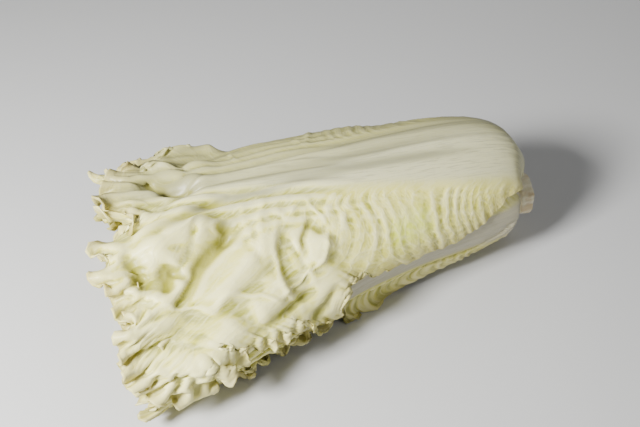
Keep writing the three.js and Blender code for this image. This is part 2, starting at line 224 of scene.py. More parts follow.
def springs(size):
    """The pairs of neighbours that tissue joins, in batches whose pairs share no point: along
    the leaf, around it, and across the cells. Last come the pairs two apart, which keep tissue
    from folding sharply."""
    rows, columns = size
    batches = []
    for kind, (down, right) in (("along", (1, 0)), ("around", (0, 1)), ("across", (1, 1)),
                                ("across", (1, -1)), ("along_far", (2, 0)), ("around_far", (0, 2))):
        step = 2 * max(down, abs(right))
        for start in range(step if "far" in kind else 2):
            if down:
                i = np.arange(start, rows - down, step)
                j = np.arange(max(-right, 0), columns - max(right, 0))
            else:
                i, j = np.arange(rows), np.arange(start, columns - right, step)
            if len(i) and len(j):
                first = (slice(i[0], i[-1] + 1, step if down else 1),
                         slice(j[0], j[-1] + 1, 1 if down else step))
                other = (slice(first[0].start + down, first[0].stop + down, first[0].step),
                         slice(first[1].start + right, first[1].stop + right, first[1].step))
                batches.append((kind, first, other))
    return batches


def grow(shape, start, growth_along, growth_around, hold, inwards, outwards, steps, stiff):
    """Lets the tissue near a leaf's margins grow, so that it buckles into frills by itself.
    hold ties each point to the plain shape, and it may move so far inwards and outwards."""
    normal = outward(shape)
    points = start.copy()
    joined = []
    for kind, a, b in springs(shape.shape[:2]):
        along, around = ((g[a] + g[b]) / 2 for g in (growth_along, growth_around))
        growth = along if "along" in kind else around if "around" in kind else (along + around) / 2
        joined.append(("far" in kind, a, b, lengths(shape[a], shape[b]), growth))
    for step in range(steps):
        ramp = min(1, 1.5 * (step + 1) / steps)
        for far, a, b, rest, growth in joined:
            gap = points[b] - points[a]
            error = 1 - rest * (1 + ramp * growth) / np.maximum(np.sqrt((gap ** 2).sum(-1)), 1e-6)
            move = gap * (stiff * 0.5 * np.minimum(error, 0) if far else 0.45 * error)[..., None]
            points[a] += move
            points[b] -= move
        points += (shape - points) * hold[..., None]
        off = ((points - shape) * normal).sum(-1)
        points += normal * (0.5 * (np.clip(off, -inwards, outwards) - off))[..., None]
        points[..., 2] = np.maximum(points[..., 2], 0.7)
    off = ((points - shape) * normal).sum(-1)
    return points + normal * (np.clip(off, -inwards, outwards) - off)[..., None]


def finer(grid, rows, columns):
    """A grid of points or numbers, resampled smoothly to more rows and columns."""
    for axis, count in ((0, rows), (1, columns)):
        grid = np.moveaxis(grid, axis, 0)
        x = np.linspace(0, len(grid) - 1, count)
        i = np.clip(x.astype(int), 0, len(grid) - 2)
        t = (x - i).reshape((-1,) + (1,) * (grid.ndim - 1))
        p0, p1, p2, p3 = (grid[np.clip(i + k, 0, len(grid) - 1)] for k in (-1, 0, 1, 2))
        bend = 2 * p0 - 5 * p1 + 4 * p2 - p3 + t * (3 * (p1 - p2) + p3 - p0)
        grid = p1 + t * 0.5 * (p2 - p0 + t * bend)
        grid = np.moveaxis(grid, 0, axis)
    return grid


def smoothed(grid, times):
    """A grid whose every point is drawn towards its neighbours, that many times."""
    for _ in range(times):
        for axis in (0, 1):
            grid = np.moveaxis(grid, axis, 0)
            wide = np.concatenate([grid[:1], grid, grid[-1:]])
            grid = np.moveaxis((wide[:-2] + 2 * grid + wide[2:]) / 4, 0, axis)
    return grid


def net(x, y, seed):
    """How far into a cell of an uneven net each place is: 0 on its threads."""
    jitter = np.random.default_rng(seed).uniform(0.1, 0.9, (64, 64, 2))
    i, j = np.floor(x).astype(int), np.floor(y).astype(int)
    first, second = np.full(x.shape, 9.0), np.full(x.shape, 9.0)
    for a in (-1, 0, 1):
        for b in (-1, 0, 1):
            spot = jitter[(i + a) % 64, (j + b) % 64]
            gap = np.hypot(i + a + spot[..., 0] - x, j + b + spot[..., 1] - y)
            second = np.minimum(second, np.maximum(first, gap))
            first = np.minimum(first, gap)
    return np.clip(second - first, 0, 1)


BLADE_THICKNESS = 0.9
LEAF_LENGTH = 310
AIR_GAP = 0.6
# A leaf's plan. Most curves run from its foot, 0, to its tip, 1; tip_line runs across it, from
# edge to edge, -1 to 1. lower and upper are how many degrees the leaf reaches from its midrib.
PLAIN_LEAF = {
    "start": 0, "tip": 0.97, "tuck": 0.0,
    "top_back_shade": curve([(0, 0), (1, 0)]), "flare": curve([(0, 0), (1, 0)]),
    "tip_line": curve([(-1, -0.1), (-0.8, -0.02), (-0.55, -0.045), (-0.3, 0), (-0.05, -0.02),
                       (0.2, 0.01), (0.45, -0.035), (0.7, -0.01), (1, -0.1)]),
    "lower": curve([(0, 40), (0.12, 55), (0.35, 74), (0.65, 92), (0.88, 96), (1, 88)]),
    "upper": curve([(0, 40), (0.12, 55), (0.35, 74), (0.65, 92), (0.88, 96), (1, 88)]),
    "rib_half": curve([(0, 38), (0.15, 34), (0.4, 24), (0.7, 13), (1, 7)]),
    "rib_thick": curve([(0, 5), (0.08, 7.5), (0.3, 7), (0.6, 4.5), (1, 1.6)]),
    "dip": (7, 7), "frill": (0.7, 0.9), "even_until": 0.15, "torn": 0.035,
    "rib_fades": (0.7, 1.1), "features": [], "grid": (100, 110), "mesh": (130, 130), "steps": 160,
}


def rib_at(leaf, side, w, s):
    """How much midrib each place is: 1 on its crest, and 0 beside it."""
    return np.clip(1 - (side * w / leaf["rib_half"](s)) ** 2, 0, 1) ** 2


def lay_leaf(leaf):
    """Shapes one leaf under everything laid before it. Returns its points and its masks."""
    leaf = {**PLAIN_LEAF, **leaf}
    seed = leaf["seed"]
    rows, columns = leaf["grid"]

    # The leaf spread out: s runs along it, w across it, and both are closer at the margins.
    t, v = np.meshgrid(np.linspace(0, 1, rows), np.linspace(-1, 1, columns), indexing="ij")
    s, w = t + 0.25 * t * (1 - t), v * (1.25 - 0.25 * v * v)
    side = np.where(w < 0, leaf["lower"](s), leaf["upper"](s))
    along = LEAF_LENGTH * s
    torn = swell(along / 13, w, seed) + 0.6 * swell(along / 5, w, seed + 1)
    side = side * (1 + leaf["torn"] * torn * ease(0.7, 1, np.abs(w)) * ease(0.08, 0.3, s))
    station = leaf["start"] + (leaf["tip"] + leaf["tip_line"](w) - leaf["start"]) * s
    bearing = leaf["midrib"](s) + side * w
    torn = swell(bearing / 12, s, seed + 2) + 0.5 * swell(bearing / 5, s, seed + 3)
    station = np.clip(station + 0.013 * torn * ease(0.8, 1, s), 0, 1.03)
    girth = girth_at(station)
    across = w * side * girth
    rib = rib_at(leaf, side, w, s)
    edge_side, edge_tip = (1 - np.abs(w)) * side * girth, LEAF_LENGTH * (1 - s)

    # The leaf laid on the head: raised in broad folds, and sunk under all that was laid before.
    skin = place(station, bearing, 0 * s)
    reach = skin - axis_point(station)
    radius = np.sqrt((reach ** 2).sum(-1))
    downwards = np.maximum(-reach[..., 2], 1e-6)
    room = np.where(reach[..., 2] < -1e-6, skin[..., 2] * radius / downwards, 1e9)
    clear = ease(0, 14, skin[..., 2])
    near_tip = ease(0.55, 1, s)
    pleats_at = along - np.abs(across) * (0.15 + 0.8 * ease(0.3, 0.95, s))
    swing = (swell(pleats_at / 36, across / 50, 5 + seed)
             + 0.4 * swell(along / 26 + 9, across / 28, 6 + seed))
    raised = leaf["flare"](s) * ease(0.6, 1, -w) + clear * 2 * np.sqrt(rib) * (1 - s)
    raised = raised + clear * near_tip * 4 * swing * (1 - rib)
    lumps = swell(along / 15, across / 16, seed + 15) + 0.4 * swell(along / 8, across / 8, seed + 16)
    raised = raised + clear * 6 * lumps * ease(0.8, 0.95, s)
    dip = leaf["dip"][0] + (leaf["dip"][1] - leaf["dip"][0]) * ease(0.1, 0.9, -w)
    free = leaf["tuck"] * ease(0.4, 1, s) * radius + dip * ease(0.13, 0, s) - np.minimum(raised, room)
    under = chart_value(eased_chart(), station, bearing)
    below = AIR_GAP + 1.6 * ease(0.7, 0.9, np.abs(w)) * ease(0.5, 3, under) * ease(0.95, 0.8, s)
    depth = np.where(under > 0.01, np.maximum(free, under + below), free)
    base = place(station, bearing, depth)

    # The margins grow and frill, first in wide waves and then, on a finer grid, in small ones.
    open_air = 1 - ease(0.0, 3.0, under)
    even = leaf["even_until"]
    loose = np.clip(np.exp(-edge_side / 13) * ease(even, even + 0.3, s) + np.exp(-edge_tip / 13), 0, 1)
    bare = 1 - ease(0, 3, under) * ease(0.98, 0.86, s)
    growth_along = bare * leaf["frill"][0] * np.exp(-edge_side / 11) * ease(even, even + 0.35, s)
    growth_around = leaf["frill"][1] * np.exp(-edge_tip / 11)
    hold = 0.35 * (1 - loose) ** 2 + 0.003
    outwards = 0.3 + 11 * loose * np.maximum(open_air, 0.4 * ease(0.88, 1, s))
    inwards = 0.3 + 8 * loose
    thickness = BLADE_THICKNESS + (leaf["rib_thick"](s) - BLADE_THICKNESS) * rib
    stirred = 3.5 * loose ** 2 * swell(along / 17, across / 17, seed + 4)
    start = base + outward(base) * stirred[..., None]
    points = grow(base, start, growth_along, growth_around, hold, inwards, outwards, leaf["steps"], 0.2)
    sunk = 0.6 * np.maximum(-((points - base) * outward(base)).sum(-1), 0)

    parts = np.stack([station, bearing, along, across, side, s, w, thickness, under, girth,
                      depth + sunk], -1)
    points, parts = finer(points, *leaf["mesh"]), finer(parts, *leaf["mesh"])
    (station, bearing, along, across, side, s, w, thickness, under, girth,
     depth) = np.moveaxis(parts, -1, 0)
    rib = rib_at(leaf, side, w, s)
    edge_side = np.maximum(1 - np.abs(w), 0) * side * girth
    edge_tip = LEAF_LENGTH * np.maximum(1 - s, 0)
    margin = np.minimum(edge_side, edge_tip)
    loose = np.exp(-edge_side / 5) * ease(even, even + 0.3, s) + np.exp(-edge_tip / 5)
    loose = np.clip(loose, 0, 1)
    covered = ease(0, 3, under) * (1 - ease(0.88, 1, s))
    growth = 0.35 * np.exp(-margin / 6) * ease(even, even + 0.3, s) * (1 - covered)
    start = points + outward(points) * (1.0 * loose * swell(along / 5, across / 5, seed + 5))[..., None]
    points = grow(points, start, growth, growth, 0.3 * (1 - loose) ** 2 + 0.01, 0.1 + 3 * loose,
                  0.1 + 3 * loose * (1 - covered), 50, 0.12)

    # Side veins leave the midrib and lean towards the tip; a net of finer veins joins them. They
    # stand out of the leaf's outer face, and the tissue between them is hollow.
    off_rib = np.maximum(np.abs(across) - leaf["rib_half"](s) * girth * 0.7, 0)
    blade = ease(0, 9, off_rib) * (1 - rib)
    calm = 1 - ease(0, 3, under)
    veins_at = along - 11 * (1 - np.exp(-off_rib / 6)) - off_rib * (0.08 + 0.75 * ease(0.35, 0.95, s))
    count = veins_at / 8 + 0.9 * swell(veins_at / 30, off_rib / 45, seed + 6)
    strength = 0.45 + 0.55 * swell(count * 0.9, off_rib / 60, seed + 7)
    wave = np.cos(2 * np.pi * count)
    vein = np.clip(wave, 0, 1) ** 3 * strength * blade
    threads = 1 - np.clip(net(veins_at / 6, off_rib / 13, seed + 8) * 2.5, 0, 1)
    small = 1 - np.clip(net(veins_at / 3.4, off_rib / 5, seed + 9) * 2.5, 0, 1)
    calmer = 1 - 0.75 * ease(0.4, 0.7, s)
    relief = blade * (0.8 * wave * strength * (1 - 0.85 * ease(0.45, 0.65, s))
                      + (0.3 * threads + 0.2 * small) * calmer)

    # Soft pleats, sharp creases, and lines that fan out of the midrib towards the tip.
    pleats = (swell(veins_at / 22, off_rib / 50, seed + 10)
              + 0.25 * swell(along / 12, across / 14, seed + 11))
    relief = relief + 1.0 * blade * pleats * ease(0.3, 0.65, s)
    creases = 1 - 11 * np.abs(swell(veins_at / 30, off_rib / 50, seed + 13)
                              + 0.2 * swell(along / 12, across / 12, seed + 14))
    relief = relief + 1.5 * blade * np.clip(creases, 0, 1) * ease(0.4, 0.6, s)
    fan = ease(0.45, 0.72, s) * np.exp(-(across / 36) ** 2) * np.sqrt(ease(1.02, 0.85, s))
    ridges = np.cos(2 * np.pi * (across / 8.5 + 0.5 * swell(along / 40, across / 15, seed + 12)))
    relief = relief * (1 - 0.6 * fan) + 1.8 * fan * ridges
    ribbing = np.sin(across * 2 * np.pi / 6.5 + 2 * swell(along / 60, across / 8, 11))
    relief = relief + 0.14 * ribbing * np.sqrt(rib)
    relief = relief * (0.2 + 0.8 * calm)

    # The leaf's own grooves and folds. Deep ones are marked for painted shade: their hollows and the
    # midrib's grooves are painted darker.
    shaded_hollow, groove_shades = np.zeros(s.shape), np.zeros(s.shape)
    for path, width, height, step in leaf["features"]:
        mark, left = stroke(station, bearing, path, width)
        relief = relief + mark * (height + step * np.clip(left, -1, 1))
        shaded_hollow = shaded_hollow + (mark * min(-height / 4, 1.6) if height < -2.3 else 0)
        groove_shades = groove_shades + (mark if height < -1 else 0)
    points = points + outward(points) * relief[..., None]
    points[..., 2] = np.maximum(points[..., 2], 0.0)
    fill(station, bearing, depth + thickness + np.maximum(-relief, 0))

    # What the material needs to know: low is how far a place lies below those round it. It sets painted
    # shade in the hollows and a painted highlight on the crests.
    near, far = smoothed(points, 4), smoothed(points, 40)
    low = (((near - points) * outward(near)).sum(-1) / 0.4
           + ((far - near) * outward(far)).sum(-1) / 1.5)
    fades = 1 - ease(*leaf["rib_fades"], s)
    masks = {"rib": np.maximum(rib * fades, fan * (0.3 + 0.3 * ridges) * fades ** 0.5),
             "vein": np.maximum(vein, 0.5 * blade * threads), "margin": margin,
             "shaded_hollow": np.clip(shaded_hollow, 0, 1.6), "groove_shade": np.clip(groove_shades, 0, 1.5),
             "shade": np.clip(low, -1, 1), "top_back_shade": leaf["top_back_shade"](bearing) * ease(0.02, 0.12, s),
             "station": station, "bearing": bearing, "thickness": thickness}
    places = {"leaf_place": np.stack([along, across, 0 * along], -1),
              "vein_place": np.stack([count, across / 22, 0 * along], -1)}
    return points, masks, places


def keep_masks(mesh, masks, places):
    """Stores masks as numbers, and places as vectors, on a mesh's points."""
    for kind, field, layers in (("FLOAT", "value", masks), ("FLOAT_VECTOR", "vector", places)):
        for name, values in layers.items():
            kept = mesh.attributes.new(name, kind, "POINT")
            kept.data.foreach_set(field, values.reshape(-1).astype(np.float32))


def leaf_mesh(name, points, masks, places):
    """A grid primitive drawn out to the leaf's points, and given its thickness inwards."""
    rows, columns = points.shape[:2]
    bpy.ops.object.select_all(action="DESELECT")
    bpy.ops.mesh.primitive_grid_add(x_subdivisions=columns - 1, y_subdivisions=rows - 1, size=1)
    leaf = bpy.context.object
    leaf.name = leaf.data.name = name
    mesh = leaf.data
    mesh.vertices.foreach_set("co", ((points + SHIFT) / 1000).reshape(-1).astype(np.float32))
    keep_masks(mesh, masks, places)
    thick = masks["thickness"] / masks["thickness"].max()
    group = leaf.vertex_groups.new(name="thick")
    levels = np.rint(thick.reshape(-1) * 40).astype(int)
    for level in np.unique(levels):
        group.add(np.flatnonzero(levels == level).tolist(), float(level) / 40, "REPLACE")
    solid = leaf.modifiers.new("thickness", "SOLIDIFY")
    solid.thickness = float(masks["thickness"].max()) / 1000
    solid.offset = -1
    solid.vertex_group = "thick"
    solid.use_even_offset = False
    bpy.ops.object.modifier_apply(modifier="thickness")
    spots = np.zeros(3 * len(mesh.vertices), np.float32)
    mesh.vertices.foreach_get("co", spots)
    spots[2::3] = np.maximum(spots[2::3], 0)
    mesh.vertices.foreach_set("co", spots)
    mesh.polygons.foreach_set("use_smooth", np.ones(len(mesh.polygons), bool))
    mesh.update()
    return leaf


TOP_LEAF = {
    "tip": 1.0, "seed": 11, "grid": (130, 170), "mesh": (215, 226), "steps": 260,
    "frill": (0.45, 0.7), "even_until": 0.45, "dip": (1, 14),
    # painted shade on the top and back, set by bearing
    "top_back_shade": curve([(82, 0), (94, 0.6), (112, 0.9), (135, 1), (160, 0.4)]),
    "midrib": curve([(0, 80), (0.3, 80), (0.5, 84), (0.72, 93), (1, 98)]),
    "lower": curve([(0, 46), (0.108, 52), (0.172, 58), (0.248, 73), (0.334, 86), (0.453, 89),
                    (0.56, 90), (0.636, 84), (0.69, 112), (0.755, 102), (0.82, 97), (0.862, 96),
                    (0.93, 95), (1, 106)]),
    "upper": curve([(0, 68), (0.12, 72), (0.35, 84), (0.65, 98), (0.88, 100), (1, 86)]),
    "tip_line": curve([(-1, -0.1), (-0.9, -0.06), (-0.74, -0.005), (-0.5, 0), (-0.4, 0.01),
                       (-0.32, 0.03), (-0.22, 0.012), (-0.13, -0.05), (-0.04, -0.03),
                       (0, -0.03), (0.05, -0.04), (0.12, -0.05), (0.34, -0.08),
                       (0.44, -0.1), (0.75, -0.08), (1, -0.12)]),
    "flare": curve([(0, 0), (0.6, 0), (0.66, 6), (0.8, 8), (1, 0)]),
    "rib_half": curve([(0, 80), (0.08, 68), (0.15, 60), (0.26, 50), (0.34, 42), (0.44, 33),
                       (0.58, 25), (0.72, 16), (1, 8)]),
    # Grooves, ridges and folds: each a path of stations and bearings, its width, its height, and
    # how far the leaf steps up to the path's left.
    "features": [
        ([(0.0, 88), (0.4, 87), (0.6, 88), (0.8, 92), (1.0, 96)], 4.5, -3, 0),
        ([(0.05, 108), (0.5, 103), (0.78, 101), (1.0, 108)], 4.5, -3, 0),
        ([(0.1, 66), (0.4, 74), (0.6, 80), (0.75, 85)], 5, -1.2, 0),
        ([(0.56, 70), (0.635, 74), (0.72, 81), (0.77, 82), (0.81, 80), (0.863, 76), (0.907, 73),
          (0.95, 70), (1.0, 64)], 3.2, -4, 1.5),
        ([(0.66, 82), (0.75, 87), (0.8, 87), (0.87, 84), (0.93, 82), (1.0, 77)], 4.5, 1.5, 0),
        # the great fold, with the bright pillow on its left
        ([(0.74, 67), (0.77, 63), (0.795, 61), (0.828, 57), (0.85, 53), (0.868, 47), (0.883, 43),
          (0.9, 41), (0.94, 42)], 4.2, -4, -3.5),
        ([(0.7, 60), (0.74, 52), (0.79, 43), (0.83, 38), (0.88, 33)], 9, 5, 0),
        ([(0.72, 76), (0.78, 69), (0.82, 62), (0.855, 57), (0.9, 50)], 8, -3, 0),
        ([(0.8, 77), (0.85, 72), (0.9, 70), (0.96, 66)], 12, 8, 0),
        ([(0.82, 76), (0.84, 72), (0.863, 62), (0.885, 57), (0.905, 54)], 2.6, -1.6, 1.2),
        # pockets among the frills, and the rolled flap over the largest
        ([(0.8, 95), (0.838, 94.5), (0.868, 98), (0.89, 104), (0.915, 108)], 7.5, -9, 0),
        ([(0.77, 97), (0.81, 99), (0.833, 104), (0.863, 112), (0.883, 119), (0.9, 124)], 5.5, 4.5, 2),
        ([(0.76, 108), (0.8, 114), (0.85, 117), (0.9, 118), (0.95, 112)], 8, 6, 0),
        ([(0.73, 132), (0.78, 136), (0.84, 137), (0.88, 136)], 6, 10, 0),
        ([(0.965, 68), (0.948, 64), (0.942, 58), (0.925, 50)], 4.5, -5, 0),
        ([(0.885, 59), (0.905, 57), (0.908, 52), (0.9, 47)], 4.5, -5.5, 0),
        ([(0.905, 58), (0.89, 55), (0.87, 51)], 2, -3, 0),
        ([(0.78, 71), (0.79, 68), (0.802, 62), (0.802, 57)], 3.5, -2.4, 0),
        # fine folds and ridges of the side veins down the middle
        ([(0.68, 76), (0.703, 59), (0.72, 48), (0.72, 41), (0.723, 32), (0.718, 24), (0.695, 12),
          (0.685, -2)], 2.6, 1.5, 1.2),
        ([(0.69, 62), (0.705, 46), (0.707, 34), (0.7, 18)], 5, -1.6, 0),
        ([(0.677, 50), (0.672, 44), (0.667, 36), (0.662, 25), (0.65, 10)], 2.5, 1.6, 0),
        ([(0.693, 52), (0.688, 47), (0.677, 39), (0.667, 27)], 2.6, -1.4, 0),
        ([(0.625, 60), (0.642, 52), (0.66, 46), (0.664, 38), (0.66, 30)], 2.8, -2.6, -1.8),
        ([(0.65, 53), (0.635, 52), (0.623, 47), (0.612, 47), (0.6, 51)], 3.2, -2.8, 0),
        ([(0.6, 42), (0.63, 36), (0.66, 28)], 9, 4, 0),
        ([(0.74, 65), (0.75, 58), (0.753, 51), (0.75, 41)], 2.6, -1.4, 0),
        ([(0.762, 62), (0.768, 56), (0.757, 47)], 2.6, -1.2, 0),
        ([(0.705, 79), (0.728, 67), (0.745, 57)], 2.6, 1, 0),
        ([(0.752, 79), (0.76, 70), (0.76, 59)], 2.6, 1, 0),
        ([(0.56, 67), (0.588, 58), (0.615, 50)], 2.6, 0.9, 0),
        ([(0.545, 61), (0.565, 50), (0.585, 40), (0.59, 26)], 2.6, 0.9, 0),
        # wide soft folds low at the front and at the back
        ([(0.7, 34), (0.75, 24), (0.8, 20)], 14, 5, 0),
        ([(0.8, 24), (0.84, 18), (0.9, 8)], 13, 5, 0),
        ([(0.38, 126), (0.5, 130), (0.65, 131), (0.8, 133)], 15, 4, 0),
        ([(0.64, 15), (0.72, 12), (0.8, 12)], 5, -3, -2),
        ([(0.6, 12), (0.64, 0), (0.68, -4)], 5, -3, -2),
    ],
}


class Value:
    """A number in a material. Arithmetic on it adds the material's Math nodes."""

    def __init__(self, finish, socket):
        self.finish, self.socket = finish, socket

    def math(self, operation, *others):
        values = dict(enumerate((self,) + others))
        return self.finish.node("Math", values, operation=operation)

    def __add__(self, other):
        return self.math("ADD", other)

    def __mul__(self, other):
        return self.math("MULTIPLY", other)

    def __sub__(self, other):
        return self.math("SUBTRACT", other)

    def __rsub__(self, other):
        return self.finish.node("Math", {0: other, 1: self}, operation="SUBTRACT")

    __radd__, __rmul__ = __add__, __mul__

    def between(self, low, high, start=0.0, end=1.0):
        """This value mapped smoothly from low..high to start..end."""
        return self.finish.node("MapRange", {"Value": self, "From Min": low, "From Max": high,
                                             "To Min": start, "To Max": end},
                                interpolation_type="SMOOTHSTEP")


class Finish:
    """A material under construction: a Principled surface and the nodes that feed it."""

    def __init__(self, name, **steady):
        self.material = bpy.data.materials.new(name)
        self.material.use_nodes = True
        self.tree = self.material.node_tree
        self.surface = self.tree.nodes["Principled BSDF"]
        for socket, value in steady.items():
            self.surface.inputs[socket.replace("_", " ")].default_value = value

    def node(self, kind, values, output=0, **settings):
        made = self.tree.nodes.new("ShaderNode" + kind)
        for name, setting in settings.items():
            setattr(made, name, setting)
        for socket, value in values.items():
            if isinstance(value, Value):
                self.tree.links.new(value.socket, made.inputs[socket])
            else:
                made.inputs[socket].default_value = value
        return Value(self, made.outputs[output])

    def mask(self, name):
        return self.node("Attribute", {}, output="Fac", attribute_name=name)

    def blend(self, share, first, second):
        """A colour between two others."""
        return self.node("Mix", {"Factor": share, 6: first, 7: second}, output=2, data_type="RGBA")

    def feed(self, **sockets):
        for socket, value in sockets.items():
            self.tree.links.new(value.socket, self.surface.inputs[socket.replace("_", " ")])


def tone(red, green, blue):
    """A colour from the 0 to 255 values that a screen shows."""
    return tuple((v / 255) ** 2.2 for v in (red, green, blue)) + (1,)


def leaf_finish(name, rib_tone, blade_tone, deep_tone, patch=0.0):
    """A leaf's material. Its patterns lie on the leaf: leaf_place is in millimetres along and
    across it, and vein_place counts the side veins, so that the nets follow them."""
    finish = Finish(name, Subsurface_Weight=0.15, Subsurface_Scale=0.002, IOR=1.38,
                    Subsurface_Radius=(1.0, 0.9, 0.35), Coat_Weight=0.14, Coat_Roughness=0.25)
    spot = finish.node("Attribute", {}, output="Vector", attribute_name="leaf_place")
    rib, vein, margin = finish.mask("rib"), finish.mask("vein"), finish.mask("margin")
    shaded_hollow, shade, groove_shade = finish.mask("shaded_hollow"), finish.mask("shade"), finish.mask("groove_shade")
    cloud = finish.node("TexNoise", {"Vector": spot, "Scale": 0.035, "Detail": 4.0, "Roughness": 0.6})
    mottle = finish.node("TexNoise", {"Vector": spot, "Scale": 0.22, "Detail": 5.0, "Roughness": 0.65})
    wander = finish.node("TexNoise", {"Vector": spot, "Scale": 0.12, "Detail": 2.0}, output="Color")
    wander = finish.node("VectorMath", {0: wander, 1: (0.35, 0.35, 0.0)}, operation="MULTIPLY")
    way = finish.node("Attribute", {}, output="Vector", attribute_name="vein_place")
    way = finish.node("VectorMath", {0: way, 1: wander}, operation="ADD")
    web = finish.node("TexVoronoi", {"Vector": way, "Scale": 1.3}, feature="DISTANCE_TO_EDGE")
    fine_web = finish.node("TexVoronoi", {"Vector": way, "Scale": 3.1}, feature="DISTANCE_TO_EDGE")
    web, fine_web = web.between(0.0, 0.13, 1.0, 0.0), fine_web.between(0.0, 0.2, 1.0, 0.0)
    tissue = 1 - rib.between(0.02, 0.5)
    colour = finish.blend(cloud.between(0.35, 0.7), blade_tone, deep_tone)
    # Painted shade where the tissue lies low, and a painted highlight where it stands high.
    colour = finish.blend(shade.between(0.0, 0.8, 0.0, 0.9), colour, tone(150, 150, 50))
    colour = finish.blend(shade.between(-0.9, -0.1, 0.85, 0.0), colour, tone(250, 243, 168))
    if patch:
        green = finish.mask("patch")
        colour = finish.blend(green * patch, colour, tone(214, 224, 64))
    colour = finish.blend(web * 0.35 + fine_web * 0.14, colour, tone(242, 236, 174))
    colour = finish.blend(vein * 0.5, colour, tone(243, 238, 180))
    # Painted shade: the deep hollows and pockets of the folds are painted a darker olive.
    colour = finish.blend(shaded_hollow.between(0.1, 1.2, 0.0, 0.75), colour, tone(150, 146, 48))
    colour = finish.blend(1 - tissue, colour, rib_tone)
    # Painted shade: the grooves along the midrib are painted a darker grey.
    groove_shade = groove_shade.between(0.1, 1.1, 0.0, 0.75) * (1 - tissue)
    colour = finish.blend(groove_shade, colour, tone(132, 131, 100))
    streaks = finish.node("VectorMath", {0: spot, 1: (0.06, 0.9, 1.0)}, operation="MULTIPLY")
    streaks = finish.node("TexNoise", {"Vector": streaks, "Scale": 1.0, "Detail": 3.0})
    fibres = streaks.between(0.5, 0.66, 0.0, 0.45) * rib.between(0.1, 0.6)
    colour = finish.blend(fibres, colour, tone(150, 147, 118))
    # Painted shade: the top and back of the outer leaf, turned away from the light, are painted darker.
    colour = finish.blend(finish.mask("top_back_shade") * 0.85, colour, tone(148, 145, 99))
    # Painted shade: the deepest pockets are painted darker still.
    colour = finish.blend(shaded_hollow.between(1.15, 1.55, 0.0, 0.7), colour, tone(138, 134, 62))
    colour = finish.blend(margin.between(0.0, 20.0, 0.45, 0.0), colour, tone(172, 160, 100))
    colour = finish.blend(mottle.between(0.55, 0.8, 0.0, 0.18), colour, tone(150, 146, 104))
    burnt = margin.between(0.5, 5.0, 1.0, 0.0) * cloud.between(0.4, 0.65) * mottle.between(0.35, 0.55)
    colour = finish.blend(burnt * 0.5, colour, tone(160, 142, 78))
    grain = finish.node("TexNoise", {"Vector": spot, "Scale": 1.1, "Detail": 6.0, "Roughness": 0.6})
    height = grain * 0.25 + (web + fine_web * 0.5) * tissue * 0.4 + streaks * rib * 0.6
    bump = finish.node("Bump", {"Height": height, "Strength": 0.4, "Distance": 0.0006}, output="Normal")
    rough = 0.48 - rib * 0.1 + mottle * 0.08
    finish.feed(Base_Color=colour, Roughness=rough, Normal=bump)
    return finish.material


outer_finish = leaf_finish("pale_leaf", tone(210, 207, 163), tone(236, 229, 122),
                           tone(208, 203, 70), patch=1.0)

# One patch low on the front is greener than the rest of the leaf.
GREEN_PATCH = [(0.35, 30), (0.4, 26), (0.44, 24), (0.5, 22)]
GREEN_WIDTH = 13

points, masks, places = lay_leaf(TOP_LEAF)
masks["patch"] = stroke(masks["station"], masks["bearing"], GREEN_PATCH, GREEN_WIDTH)[0]
top_leaf = leaf_mesh("top_leaf", points, masks, places)
top_leaf.data.materials.append(outer_finish)
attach(top_leaf, "root")
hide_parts("leaf_1_top")


# The second leaf. Its greyish midrib shows low at the front, below the first leaf's torn edge,
# with ragged yellowish margins beside the table. It is grown and laid as the first leaf is.
rib_finish = leaf_finish("grey_ribbed_leaf", tone(178, 172, 146), tone(224, 218, 112),
                         tone(196, 191, 70))

points, masks, places = lay_leaf({
    "start": 0.015, "tip": 0.985, "seed": 23, "grid": (105, 115), "mesh": (170, 175), "steps": 220,
    "frill": (0.6, 0.7), "even_until": 0.4, "torn": 0.06, "dip": (14, 14), "rib_fades": (0.58, 0.76),
    "midrib": curve([(0, -8), (0.4, -12), (1, -14)]),
    "lower": curve([(0, 30), (0.12, 28), (0.35, 30), (0.5, 38), (0.6, 37), (0.68, 24), (0.74, 17),
                    (0.8, 19), (0.86, 16), (0.92, 28), (1, 44)]),
    "upper": curve([(0, 56), (0.12, 58), (0.35, 74), (0.65, 92), (0.88, 96), (1, 88)]),
    "rib_half": curve([(0, 45), (0.08, 34), (0.15, 27), (0.4, 22), (0.7, 13), (1, 7)]),
    "flare": curve([(0, 0), (0.2, 2), (0.35, 6), (0.48, 12), (0.54, 20), (0.6, 18), (0.66, 8),
                    (1, 8)]),
})
front_leaf = leaf_mesh("front_leaf", points, masks, places)
front_leaf.data.materials.append(rib_finish)
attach(front_leaf, "root")
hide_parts("leaf_2_front")


# The leaf across the back, and the five under it. Each grew a little higher up the stem than the
# one before, and mostly its frilled margin shows. All are laid as the first leaf is.
inner_finish = leaf_finish("creamy_leaf", tone(220, 215, 166), tone(237, 229, 124),
                           tone(212, 205, 76))
